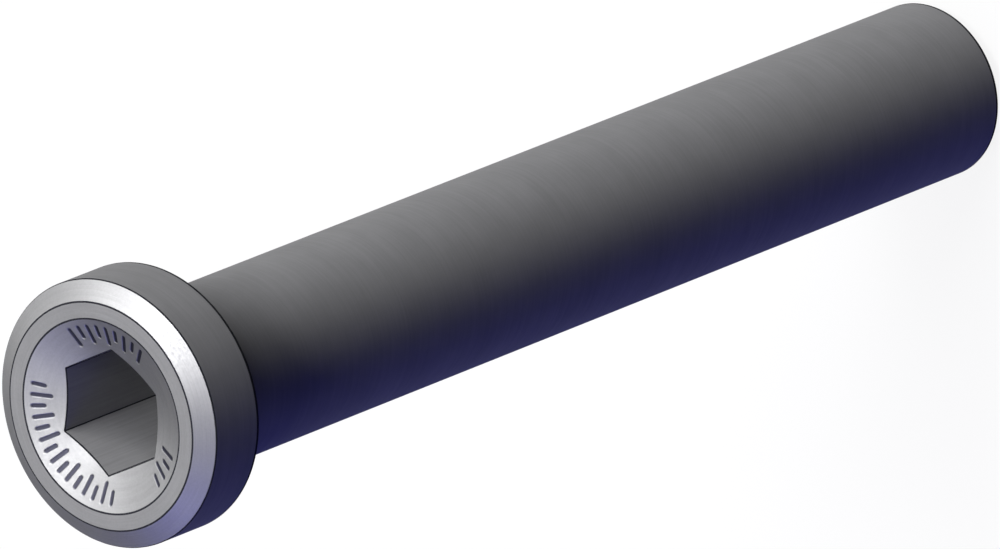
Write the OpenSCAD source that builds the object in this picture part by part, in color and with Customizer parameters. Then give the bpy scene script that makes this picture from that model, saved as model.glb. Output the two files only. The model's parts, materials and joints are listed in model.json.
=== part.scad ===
// Low-head screw with a plain round shank and a hexagon socket in its dished face.
// It stands on the flat far end of its shank, centred on the Z axis, with the head up.

/* [Head] */
// Diameter of the head
head_d = 12; // [11.2:0.1:18]
// Height of the head, from the bearing face under it to its front face
head_h = 3.5; // [2.4:0.1:8]
// Radial width of the chamfer round the front face
face_chamfer_w = 0.9; // [0.2:0.05:1.4]
// Height of the chamfer round the front face
face_chamfer_h = 0.55; // [0.1:0.05:1.8]
// Break on the edge of the bearing face
back_break = 0.1; // [0.05:0.05:0.4]

/* [Dish in the front face] */
// Diameter of the dish at the front face
dish_d = 8.7; // [6.4:0.1:9.8]
// Slope of the dish, measured from the front face
dish_slope = 22.8; // [5:0.1:45]

/* [Hexagon socket] */
// Width across the flats of the socket
socket_af = 5; // [2.5:0.1:6]
// Depth from the front face to the end of the socket's corners
socket_depth = 8; // [3:0.1:16]
// Included angle of the pointed bottom
socket_tip_angle = 120; // [90:1:150]

/* [Shank] */
// Diameter of the shank
shank_d = 8; // [7:0.1:10.8]
// Length of the shank, from the bearing face to the far end
shank_l = 55; // [20:0.5:160]
// Radius of the fillet where the shank meets the head
fillet_r = 0.3; // [0.1:0.05:0.5]
// Chamfer on the far end of the shank, at 45 degrees
end_chamfer = 0.6; // [0.2:0.05:1.5]

/* [Hidden] */
$fn = 96;
// Overlap that keeps unions and cuts clear of shared faces
eps = 0.01;
head_r = head_d / 2;
shank_r = shank_d / 2;
face_z = shank_l + head_h;
dish_r = dish_d / 2;
dish_depth = dish_r * tan(dish_slope);
// Corner radius of the socket, and the turn that points a corner along the Y axis
socket_sides = 6;
socket_corner_r = socket_af / 2 / cos(180 / socket_sides);
socket_turn = 90;
// Depth of the pointed bottom's cone, from the end of the corners to its point
tip_h = socket_corner_r / tan(socket_tip_angle / 2);

// Half section of the head: x is the radius, y the height above the far end
module head_section() {
    polygon([
        [0, shank_l],
        [head_r - back_break, shank_l],
        [head_r, shank_l + back_break],
        [head_r, face_z - face_chamfer_h],
        [head_r - face_chamfer_w, face_z],
        [0, face_z]
    ]);
}

// Half section of the shank, with its end chamfer and its fillet under the head
module shank_section() {
    polygon([
        [0, 0],
        [shank_r - end_chamfer, 0],
        [shank_r, end_chamfer],
        [shank_r, shank_l + eps],
        [0, shank_l + eps]
    ]);
    difference() {
        translate([shank_r - eps, shank_l - fillet_r])
            square(fillet_r + eps);
        translate([shank_r + fillet_r, shank_l - fillet_r])
            circle(fillet_r);
    }
}

// Cone of the dish, from its point on the axis to just above the front face
module dish() {
    translate([0, 0, face_z - dish_depth])
        cylinder(h = dish_depth + eps * tan(dish_slope), r1 = 0, r2 = dish_r + eps);
}

// Hexagon socket: six flats that end on the cone of the pointed bottom
module socket() {
    corner_z = face_z - socket_depth;
    clear_r = 2 * socket_corner_r;
    intersection() {
        translate([0, 0, corner_z - tip_h])
            rotate([0, 0, socket_turn])
                cylinder(h = socket_depth + tip_h + eps, r = socket_corner_r, $fn = socket_sides);
        rotate_extrude()
            polygon([
                [0, corner_z - tip_h],
                [clear_r, corner_z + tip_h],
                [clear_r, face_z + 2 * eps],
                [0, face_z + 2 * eps]
            ]);
    }
}

// The whole screw, turned from one bar, with the dish and the socket cut in its face
module screw() {
    color("dimgray")
        difference() {
            rotate_extrude() {
                head_section();
                shank_section();
            }
            dish();
            socket();
        }
}

screw();
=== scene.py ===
import json
import math

import bpy
import numpy as np
from mathutils import Matrix, Vector

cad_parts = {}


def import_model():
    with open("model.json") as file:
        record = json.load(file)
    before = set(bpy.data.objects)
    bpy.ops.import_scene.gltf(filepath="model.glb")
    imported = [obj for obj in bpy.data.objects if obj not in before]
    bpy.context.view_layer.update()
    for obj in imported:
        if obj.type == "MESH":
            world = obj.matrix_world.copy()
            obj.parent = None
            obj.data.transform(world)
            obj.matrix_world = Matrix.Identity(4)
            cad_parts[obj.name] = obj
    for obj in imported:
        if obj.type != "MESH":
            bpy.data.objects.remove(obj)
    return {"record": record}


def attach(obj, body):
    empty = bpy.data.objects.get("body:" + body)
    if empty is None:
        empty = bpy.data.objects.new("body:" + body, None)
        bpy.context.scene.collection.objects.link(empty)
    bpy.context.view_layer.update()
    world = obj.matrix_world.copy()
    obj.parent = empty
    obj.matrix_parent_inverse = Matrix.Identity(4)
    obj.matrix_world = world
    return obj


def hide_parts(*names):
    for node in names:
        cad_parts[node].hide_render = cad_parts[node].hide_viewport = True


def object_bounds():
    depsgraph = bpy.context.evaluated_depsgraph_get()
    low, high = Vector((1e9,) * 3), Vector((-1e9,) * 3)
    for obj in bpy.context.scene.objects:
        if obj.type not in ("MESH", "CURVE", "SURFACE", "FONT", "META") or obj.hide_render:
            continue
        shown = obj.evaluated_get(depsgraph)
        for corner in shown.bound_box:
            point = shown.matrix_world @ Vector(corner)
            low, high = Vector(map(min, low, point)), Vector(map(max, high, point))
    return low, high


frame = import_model()
cad_low, cad_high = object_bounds()

# Sizes in millimetres: the frame gives the outline, and the rest are the screw's own
MM = 0.001
mounts = {mount["name"]: mount for mount in frame["record"]["mounts"]}
face_z = cad_high.z / MM
head_r = cad_high.x / MM
shank_r = mounts["shank"]["dims"]["r_mm"]
seat_z = mounts["bearing_face"]["pos_m"][2] / MM
face_chamfer_w = 0.9
face_chamfer_h = 0.55
back_break = 0.1
fillet_r = 0.3
end_chamfer = 0.6
dish_r = 4.35
dish_slope = math.tan(math.radians(22.8))

# The socket: one corner points along socket_turn, and each side takes twice half_side, in degrees
socket_af = 5.0
socket_sides = 6
socket_turn = 90
half_side = 180 / socket_sides
socket_corner_r = socket_af / 2 / math.cos(math.radians(half_side))
socket_corner_fillet = 0.06
socket_depth = 8.0
tip_slope = 1 / math.tan(math.radians(60))
tip_z = face_z - socket_depth - socket_corner_r * tip_slope

# Width of each edge's round, which carries a band of painted shade, the strip of face held straight
# beside it, and its steps
edge_w = 0.085
hold = 0.02
arc_steps = 4

# Engraved strokes in the dish: a scale of even pitch, in three arcs, every second stroke long
mark_pitch = 7.5
mark_slots = list(range(7, 22)) + list(range(27, 31)) + list(range(40, 48)) + [0]
mark_near_r = 3.2
mark_short_r = 3.5
mark_far_r = 3.95
mark_w = 0.19
mark_depth = 0.03
mark_wall = 0.05

# Columns of the mesh, in degrees: the even step, and the closer ones at marks and corners
column_step = 2
mark_column_step = 0.31
mark_columns = 7
corner_columns = (-0.9, -0.6, -0.4, -0.2, 0.2, 0.4, 0.6, 0.9)
least_column_gap = 0.04

# Painted shade: a dark line down each corner of the socket, in degrees from the corner to where a
# column starts
corner_line_from = -0.7
corner_line_to = 0.5

# Rows of the mesh: the longest gap between them, and the shares at which some of them lie
row_gap = 5.0
end_row_shares = (0.35, 0.7)
dish_row_gap = 0.035
dish_rows_end_r = 2.95
mouth_row_shares = (0.3, 0.6, 0.85)
wall_rows = 10
tip_row_shares = (0.02, 0.4, 0.8)

# Zones of the surface, each with its own finish; the dark colour of the edge zone is painted shade
SIDE, FACE, EDGE, SOCKET = range(4)

# Numbers of the sockets of a colour mix node
MIX_SHARE, MIX_FIRST, MIX_SECOND, MIX_RESULT = 0, 6, 7, 2

# Range that noise mostly keeps to, and its effect on tone and on roughness
noise_low = 0.3
noise_high = 0.7
mottle_reach = 0.04
grain_reach = 0.05

# Scale at which tool lines are read along their own direction, so that they come out long
turned_stretch = 0.12
wall_stretch = 0.03

# Floor and surroundings: half the floor's side in metres, its tones, and its own light
WHITE = (1, 1, 1, 1)
floor_half = 8.0
floor_tone = 0.4
floor_bounce_tone = 0.02
floor_light_share = 0.8
floor_light = 1.1
surroundings_tone = (0.01, 0.01, 0.011, 1)

# Camera: angles in degrees, and the rest in millimetres
view_elevation = 47.65
shank_rise = 21.615
lens_length = 900
sensor_w = 36
camera_distance = 1096.57
aim_right = -1.156
aim_up = -1.145


def rounded(before, corner, after, radius=None, strip=hold):
    """Points of the arc that rounds a corner, with a held point on each side of it."""
    corner = Vector(corner)
    a = (Vector(before) - corner).normalized()
    b = (Vector(after) - corner).normalized()
    half = a.angle(b) / 2
    if radius is None:
        radius = edge_w / (math.pi - 2 * half)
    reach = radius / math.tan(half)
    centre = corner + (a + b).normalized() * (radius / math.sin(half))
    start = corner + a * reach - centre
    end = corner + b * reach - centre
    sweep = start.angle_signed(end)
    arc = []
    for step in range(arc_steps + 1):
        turn = Matrix.Rotation(-sweep * step / arc_steps, 2)
        arc.append(centre + turn @ start)
    return [centre + start + a * hold] + arc + [centre + end + b * strip]


def dish_z(r):
    """Height of the dish's cone at a distance from the axis."""
    return face_z - (dish_r - r) * dish_slope


def off_corner(angle):
    """Angle from the nearest corner of the socket, in degrees."""
    return (angle - socket_turn + half_side) % (2 * half_side) - half_side


def socket_r(angle):
    """Distance from the axis to the socket's wall: flats, with a small fillet in each corner."""
    off = off_corner(angle)
    inner = socket_af / 2 - socket_corner_fillet
    fillet_starts = half_side - math.degrees(
        math.atan(inner * math.tan(math.radians(half_side)) / (socket_af / 2))
    )
    if abs(off) > fillet_starts:
        off_flat = half_side - abs(off)
        return socket_af / 2 / math.cos(math.radians(off_flat))
    reach = inner / math.cos(math.radians(half_side))
    turn = math.radians(off)
    across = reach * math.sin(turn)
    return reach * math.cos(turn) + math.sqrt(socket_corner_fillet**2 - across**2)


def column_angles():
    """Angles of the mesh's columns: evenly spread, and closer at socket corners and marks."""
    angles = set(range(0, 360, column_step))
    for side in range(socket_sides):
        corner = socket_turn + side * 360 / socket_sides
        angles.update((corner + off) % 360 for off in corner_columns)
    for slot in mark_slots:
        for step in range(-mark_columns, mark_columns + 1):
            angles.add((slot * mark_pitch + step * mark_column_step) % 360)
    kept = []
    for angle in sorted(angles):
        if not kept or angle - kept[-1] > least_column_gap:
            kept.append(angle)
    return kept


def mark_share(r, angle):
    """How deep a point of the dish lies in a mark: 0 outside, 1 on its floor."""
    slot = round(angle / mark_pitch)
    if slot % round(360 / mark_pitch) not in mark_slots:
        return 0.0
    turn = math.radians(angle - slot * mark_pitch)
    along = r * math.cos(turn)
    near_r = mark_short_r if slot % 2 else mark_near_r
    beyond = max(near_r - along, 0, along - mark_far_r)
    away = math.hypot(beyond, r * math.sin(turn))
    share = (mark_w / 2 + mark_wall / 2 - away) / mark_wall
    share = min(1.0, max(0.0, share))
    return share * share * (3 - 2 * share)


def corner_rows():
    """Rows of the turned outside, from the rim of the far end to the rim of the dish."""
    under_head = (shank_r, seat_z)
    far_rim = (shank_r, end_chamfer)
    rear_rim = (head_r, seat_z + back_break)
    corners = [
        (0, 0, SIDE),
        (shank_r - end_chamfer, 0, SIDE),
        (*far_rim, SIDE),
        (*under_head, SIDE),
        (head_r - back_break, seat_z, SIDE),
        (*rear_rim, SIDE),
        (head_r, face_z - face_chamfer_h, FACE),
        (head_r - face_chamfer_w, face_z, FACE),
        (dish_r, face_z, FACE),
        (0, dish_z(0), FACE),
    ]
    rows = []
    for index in range(1, len(corners) - 1):
        before, corner, after = (place[:2] for place in corners[index - 1 : index + 2])
        zone_before, zone_after = corners[index - 1][2], corners[index][2]
        # The arcs of the rounds take the edge zone's painted shade, in a wider band on the rims of
        # the far end and of the head's back; the fillet under the head takes none
        if corner == under_head:
            points = rounded(before, corner, after, radius=fillet_r)
            dark = range(0)
        elif corner in (far_rim, rear_rim):
            points = rounded(before, corner, after, strip=edge_w)
            dark = range(1, arc_steps + 2)
        else:
            points = rounded(before, corner, after)
            dark = range(1, arc_steps + 1)
        for number, point in enumerate(points):
            plain = zone_before if number == 0 else zone_after
            rows.append((point.x, point.y, EDGE if number in dark else plain))
    return rows


def outside_rows():
    """Rows of the turned outside, with more on the flat end and where they lie far apart."""
    corners = corner_rows()
    rows = [(corners[0][0] * share, 0, SIDE) for share in end_row_shares]
    for (r, z, zone), (ahead_r, ahead_z, _) in zip(corners, corners[1:]):
        parts = max(1, round(math.hypot(ahead_r - r, ahead_z - z) / row_gap))
        for part in range(parts):
            share = part / parts
            rows.append((r + (ahead_r - r) * share, z + (ahead_z - z) * share, zone))
    return rows + [corners[-1]]


def dish_rows(rim_r):
    """Rings of the dish, close enough to carve, down to just outside the socket's corners."""
    rows = []
    r = rim_r - dish_row_gap
    while r > dish_rows_end_r:
        rows.append((r, dish_z(r), FACE))
        r -= dish_row_gap
    return rows + [(dish_rows_end_r, dish_z(dish_rows_end_r), FACE)]


def socket_rows(angles):
    """Rows of the socket's mouth, walls and pointed bottom, worked out for each column."""
    wall_r = np.array([socket_r(angle) for angle in angles])
    mouth = [
        rounded((r + 1, dish_z(r + 1)), (r, dish_z(r)), (r, dish_z(r) - 1)) for r in wall_r
    ]
    mouth_r = np.array([[point.x for point in points] for points in mouth]).T
    mouth_z = np.array([[point.y for point in points] for points in mouth]).T
    rows = []
    for share in mouth_row_shares:
        r = dish_rows_end_r + (mouth_r[0] - dish_rows_end_r) * share
        rows.append((r, dish_z(r), FACE))
    # The round of the socket's mouth takes the edge zone's painted shade
    rows.extend(zip(mouth_r, mouth_z, [FACE] + [EDGE] * arc_steps + [SOCKET] * 2))
    bottom_z = face_z - socket_depth - (socket_corner_r - wall_r) * tip_slope
    for row in range(1, wall_rows + 1):
        share = row / wall_rows
        rows.append((wall_r, mouth_z[-1] + (bottom_z - mouth_z[-1]) * share, SOCKET))
    for share in tip_row_shares:
        rows.append((wall_r * (1 - share), bottom_z + (tip_z - bottom_z) * share, SOCKET))
    return rows


def mark_shares(r, z, angles):
    """How deep each point of the mesh lies in a mark, for the points in the dish's rings."""
    shares = np.zeros_like(r)
    in_rings = (r < dish_r) & (r > dish_rows_end_r - dish_row_gap / 2)
    in_dish = in_rings & (z > dish_z(dish_rows_end_r) - dish_row_gap)
    for row, column in np.argwhere(in_dish):
        shares[row, column] = mark_share(r[row, column], angles[column])
    return shares


def screw_faces(zones, angles):
    """Faces between the rows, and from the first and last row to the axis, each with its zone."""
    count_rows = len(zones)
    count_columns = len(angles)
    last = (count_rows - 1) * count_columns
    far_pole = count_rows * count_columns
    tip_pole = far_pole + 1
    in_line = [corner_line_from < off_corner(angle) < corner_line_to for angle in angles]
    faces = []
    face_zones = []
    for i in range(count_columns):
        ahead = (i + 1) % count_columns
        faces.append((far_pole, ahead, i))
        face_zones.append(SIDE)
        faces.append((last + i, last + ahead, tip_pole))
        face_zones.append(SOCKET)
    for j in range(count_rows - 1):
        near, far = j * count_columns, (j + 1) * count_columns
        for i in range(count_columns):
            ahead = (i + 1) % count_columns
            faces.append((near + i, near + ahead, far + ahead, far + i))
            # Faces down the socket's corners take the edge zone's painted shade
            face_zones.append(EDGE if zones[j] == SOCKET and in_line[i] else zones[j])
    return faces, face_zones


def screw_mesh():
    """The whole surface as one closed mesh, with a zone to each face and its marks carved."""
    angles = column_angles()
    turns = np.radians(angles)
    outside = outside_rows()
    rows = outside + dish_rows(outside[-1][0]) + socket_rows(angles)
    r = np.array([np.broadcast_to(row[0], turns.shape) for row in rows])
    z = np.array([np.broadcast_to(row[1], turns.shape) for row in rows])
    shares = mark_shares(r, z, angles)
    points = np.stack([r * np.cos(turns), r * np.sin(turns), z - shares * mark_depth], 2)
    vertices = [tuple(point * MM) for point in points.reshape(-1, 3)]
    vertices.append((0, 0, 0))
    vertices.append((0, 0, tip_z * MM))
    faces, face_zones = screw_faces([row[2] for row in rows], angles)

    mesh = bpy.data.meshes.new("screw_body")
    mesh.from_pydata(vertices, [], faces)
    mesh.polygons.foreach_set("material_index", face_zones)
    mesh.polygons.foreach_set("use_smooth", [True] * len(faces))
    marked = mesh.attributes.new("mark", "FLOAT", "POINT")
    marked.data.foreach_set("value", list(shares.ravel()) + [0, 0])
    mesh.update()
    return mesh


def add_node(tree, kind, inputs=None, **settings):
    """A shader node with its settings, and its inputs set to numbers or linked to sockets."""
    made = tree.nodes.new(kind)
    for name, value in settings.items():
        setattr(made, name, value)
    for key, value in (inputs or {}).items():
        if isinstance(value, bpy.types.NodeSocket):
            tree.links.new(value, made.inputs[key])
        else:
            made.inputs[key].default_value = value
    return made


def maths(tree, operation, first, second):
    """Two numbers worked together."""
    inputs = {0: first, 1: second}
    return add_node(tree, "ShaderNodeMath", inputs, operation=operation).outputs[0]


def vector_maths(tree, operation, *values):
    """Up to three vectors worked together."""
    inputs = dict(enumerate(values))
    return add_node(tree, "ShaderNodeVectorMath", inputs, operation=operation).outputs[0]


def colour_mix(tree, share, first, second):
    """A colour between two others."""
    inputs = {MIX_SHARE: share, MIX_FIRST: first, MIX_SECOND: second}
    return add_node(tree, "ShaderNodeMix", inputs, data_type="RGBA").outputs[MIX_RESULT]


def noise(tree, place, scale, detail, roughness):
    """Noise at a place, around 0.5."""
    inputs = {"Vector": place, "Scale": scale, "Detail": detail, "Roughness": roughness}
    return add_node(tree, "ShaderNodeTexNoise", inputs).outputs["Fac"]


def spread(tree, value, middle, reach):
    """Noise brought to a range round a middle value."""
    inputs = {
        "Value": value,
        "From Min": noise_low,
        "From Max": noise_high,
        "To Min": middle - reach,
        "To Max": middle + reach,
    }
    return add_node(tree, "ShaderNodeMapRange", inputs).outputs[0]


def tool_space(tree, place, along_axis):
    """Space in which noise makes fine lines along the axis, or else round it."""
    if along_axis:
        return vector_maths(tree, "MULTIPLY", place, (1, 1, wall_stretch))
    flat = vector_maths(tree, "MULTIPLY", place, (1, 1, 0))
    outward = vector_maths(tree, "NORMALIZE", flat)
    length = add_node(tree, "ShaderNodeVectorMath", {0: flat}, operation="LENGTH")
    height = add_node(tree, "ShaderNodeSeparateXYZ", {0: place}).outputs["Z"]
    profile = maths(tree, "SUBTRACT", height, length.outputs["Value"])
    along = add_node(tree, "ShaderNodeCombineXYZ", {"Z": profile}).outputs[0]
    return vector_maths(tree, "MULTIPLY_ADD", outward, (turned_stretch,) * 3, along)


def steel(name, colour, roughness, lines, line_size, groove, metallic=0.0, marks=None, walls=False):
    """Turned steel: fine tool lines over a soft mottle and grain, and a colour for its marks.

    The tool lines change the tone by up to the share that lines gives. line_size and groove are
    their width and depth in millimetres. They run round the axis, or along it on the socket's walls.
    """
    material = bpy.data.materials.new(name)
    material.use_nodes = True
    tree = material.node_tree
    tree.nodes.clear()
    place = add_node(tree, "ShaderNodeTexCoord").outputs["Object"]
    in_mm = vector_maths(tree, "MULTIPLY", place, (1 / MM,) * 3)
    lines_place = tool_space(tree, in_mm, walls)
    tool = noise(tree, lines_place, scale=1 / line_size, detail=3.0, roughness=0.6)
    mottle = noise(tree, in_mm, scale=0.5, detail=4.0, roughness=0.55)
    grain = noise(tree, in_mm, scale=9.0, detail=2.0, roughness=0.6)
    tool_tone = spread(tree, tool, 1, lines)
    tone = maths(tree, "MULTIPLY", tool_tone, spread(tree, mottle, 1, mottle_reach))
    shade = add_node(
        tree, "ShaderNodeVectorMath", {0: colour, "Scale": tone}, operation="SCALE"
    ).outputs[0]
    if marks:
        depth = add_node(tree, "ShaderNodeAttribute", attribute_name="mark").outputs["Fac"]
        shade = colour_mix(tree, depth, shade, (*marks, 1))
    bump = add_node(
        tree, "ShaderNodeBump", {"Strength": 1.0, "Distance": groove * MM, "Height": tool}
    ).outputs[0]
    shader = add_node(
        tree,
        "ShaderNodeBsdfPrincipled",
        {
            "Base Color": shade,
            "Metallic": metallic,
            "Roughness": spread(tree, grain, roughness, grain_reach),
            "Normal": bump,
            "Specular IOR Level": 0.0,
            "Specular Tint": (0.2, 0.2, 0.2, 1),
        },
    )
    add_node(tree, "ShaderNodeOutputMaterial", {"Surface": shader.outputs[0]})
    return material


def side_steel():
    """Dark satin steel of the shank, the end and the side of the head."""
    return steel(
        "side_steel",
        (0.25, 0.25, 0.255),
        roughness=0.8,
        lines=0.05,
        line_size=0.12,
        groove=0.003,
    )


def face_steel():
    """Brighter machined steel of the face, its chamfer and the dish, with dark marks."""
    return steel(
        "face_steel",
        (0.338, 0.338, 0.343),
        roughness=0.53,
        lines=0.05,
        line_size=0.08,
        groove=0.003,
        metallic=0.98,
        marks=(0.055, 0.055, 0.075),
    )


def painted_edge_shade():
    """Painted shade: near-black on the rounds of the edges and down the socket's corners, which
    draws them as dark lines.
    """
    return steel(
        "painted_edge_shade",
        (0.025, 0.025, 0.03),
        roughness=0.6,
        lines=0.05,
        line_size=0.12,
        groove=0.001,
    )


def socket_steel():
    """Steel of the socket, with its tool lines along the walls, a little lighter than the shank's
    steel: painted light that makes up for the shade inside the socket.
    """
    return steel(
        "socket_steel",
        (0.28, 0.28, 0.285),
        roughness=0.8,
        lines=0.08,
        line_size=0.12,
        groove=0.003,
        walls=True,
    )


def screw():
    """The screw, with a finish to each zone in the zones' order, and painted shade on the edges."""
    mesh = screw_mesh()
    piece = bpy.data.objects.new("screw_body", mesh)
    bpy.context.scene.collection.objects.link(piece)
    for finish in (side_steel(), face_steel(), painted_edge_shade(), socket_steel()):
        mesh.materials.append(finish)
    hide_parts("screw")
    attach(piece, "root")


def floor():
    """Pale floor: white to the eye and to gloss, a quiet grey to the light that it throws back."""
    corners = [(x * floor_half, y * floor_half, 0) for x, y in ((-1, -1), (1, -1), (1, 1), (-1, 1))]
    mesh = bpy.data.meshes.new("floor")
    mesh.from_pydata(corners, [], [(0, 1, 2, 3)])
    piece = bpy.data.objects.new("floor", mesh)
    bpy.context.scene.collection.objects.link(piece)
    material = bpy.data.materials.new("floor")
    material.use_nodes = True
    tree = material.node_tree
    tree.nodes.clear()
    path = add_node(tree, "ShaderNodeLightPath").outputs
    seen = maths(tree, "MAXIMUM", path["Is Camera Ray"], path["Is Glossy Ray"])
    seen = maths(tree, "MAXIMUM", seen, path["Is Transmission Ray"])
    share = maths(tree, "MULTIPLY", seen, floor_light_share)
    tones = {"Value": seen, "To Min": floor_bounce_tone, "To Max": floor_tone}
    tone = add_node(tree, "ShaderNodeMapRange", tones).outputs[0]
    matt = add_node(tree, "ShaderNodeBsdfDiffuse", {"Color": tone}).outputs[0]
    light = {"Color": WHITE, "Strength": floor_light}
    white = add_node(tree, "ShaderNodeEmission", light).outputs[0]
    mix = add_node(tree, "ShaderNodeMixShader", {0: share, 1: matt, 2: white}).outputs[0]
    add_node(tree, "ShaderNodeOutputMaterial", {"Surface": mix})
    mesh.materials.append(material)


def world():
    """Dim even surroundings above the horizon, and white below it, where the floor ends."""
    surroundings = bpy.data.worlds.new("studio")
    bpy.context.scene.world = surroundings
    surroundings.use_nodes = True
    tree = surroundings.node_tree
    tree.nodes.clear()
    direction = add_node(tree, "ShaderNodeTexCoord").outputs["Generated"]
    height = add_node(tree, "ShaderNodeSeparateXYZ", {0: direction}).outputs["Z"]
    above = maths(tree, "GREATER_THAN", height, 0.0)
    glow = colour_mix(tree, above, WHITE, surroundings_tone)
    back = add_node(tree, "ShaderNodeBackground", {"Color": glow, "Strength": 1.0}).outputs[0]
    add_node(tree, "ShaderNodeOutputWorld", {"Surface": back})


def sun(name, towards, strength, softness, colour=(1, 1, 1)):
    """A soft lamp, far enough away to light the whole screw evenly, as wide as its softness."""
    lamp = bpy.data.lights.new(name, "SUN")
    lamp.energy = strength
    lamp.angle = math.radians(softness)
    lamp.color = colour
    holder = bpy.data.objects.new(name, lamp)
    holder.rotation_mode = "QUATERNION"
    holder.rotation_quaternion = Vector(towards).to_track_quat("Z", "Y")
    bpy.context.scene.collection.objects.link(holder)


def camera():
    """Long lens at the photograph's angle, rolled so that the shank runs up to the right."""
    elevation = math.radians(view_elevation)
    back = Vector((0, -math.cos(elevation), math.sin(elevation)))
    level = Vector((1, 0, 0))
    upright = back.cross(level)
    roll = -math.pi / 2 - math.radians(shank_rise)
    right = level * math.cos(roll) + upright * math.sin(roll)
    up = back.cross(right)
    lens = bpy.data.cameras.new("camera")
    lens.lens = lens_length
    lens.sensor_width = sensor_w
    lens.clip_start = 0.1
    lens.clip_end = 20
    holder = bpy.data.objects.new("camera", lens)
    target = Vector((0, 0, face_z / 2)) + right * aim_right + up * aim_up
    turn = Matrix((right, up, back)).transposed().to_4x4()
    holder.matrix_world = Matrix.Translation((target + back * camera_distance) * MM) @ turn
    bpy.context.scene.collection.objects.link(holder)
    bpy.context.scene.camera = holder


camera()
screw()
floor()
world()

# Lamps, with the direction towards each, its strength and its width in degrees
sun("key", (0.315, -0.2, 0.928), 2.35, 20)
sun("side", (0.765, -0.191, 0.616), 1.91, 33)
sun("right", (0.762, 0.237, 0.598), 0.8, 28)
sun("rear", (0.48, 0.8, 0.36), 0.56, 30)
sun("left", (-0.229, 0.275, 0.934), 1.04, 34)
sun("low_left", (-0.839, 0.304, 0.451), 0.15, 20)
sun("blue_low", (-0.944, 0.162, 0.287), 1.0, 60, (0.05, 0.05, 1.0))
sun("blue_front", (0.0, -0.5, 0.866), 0.08, 70, (0.06, 0.06, 1.0))
bpy.context.scene.view_settings.view_transform = "Standard"
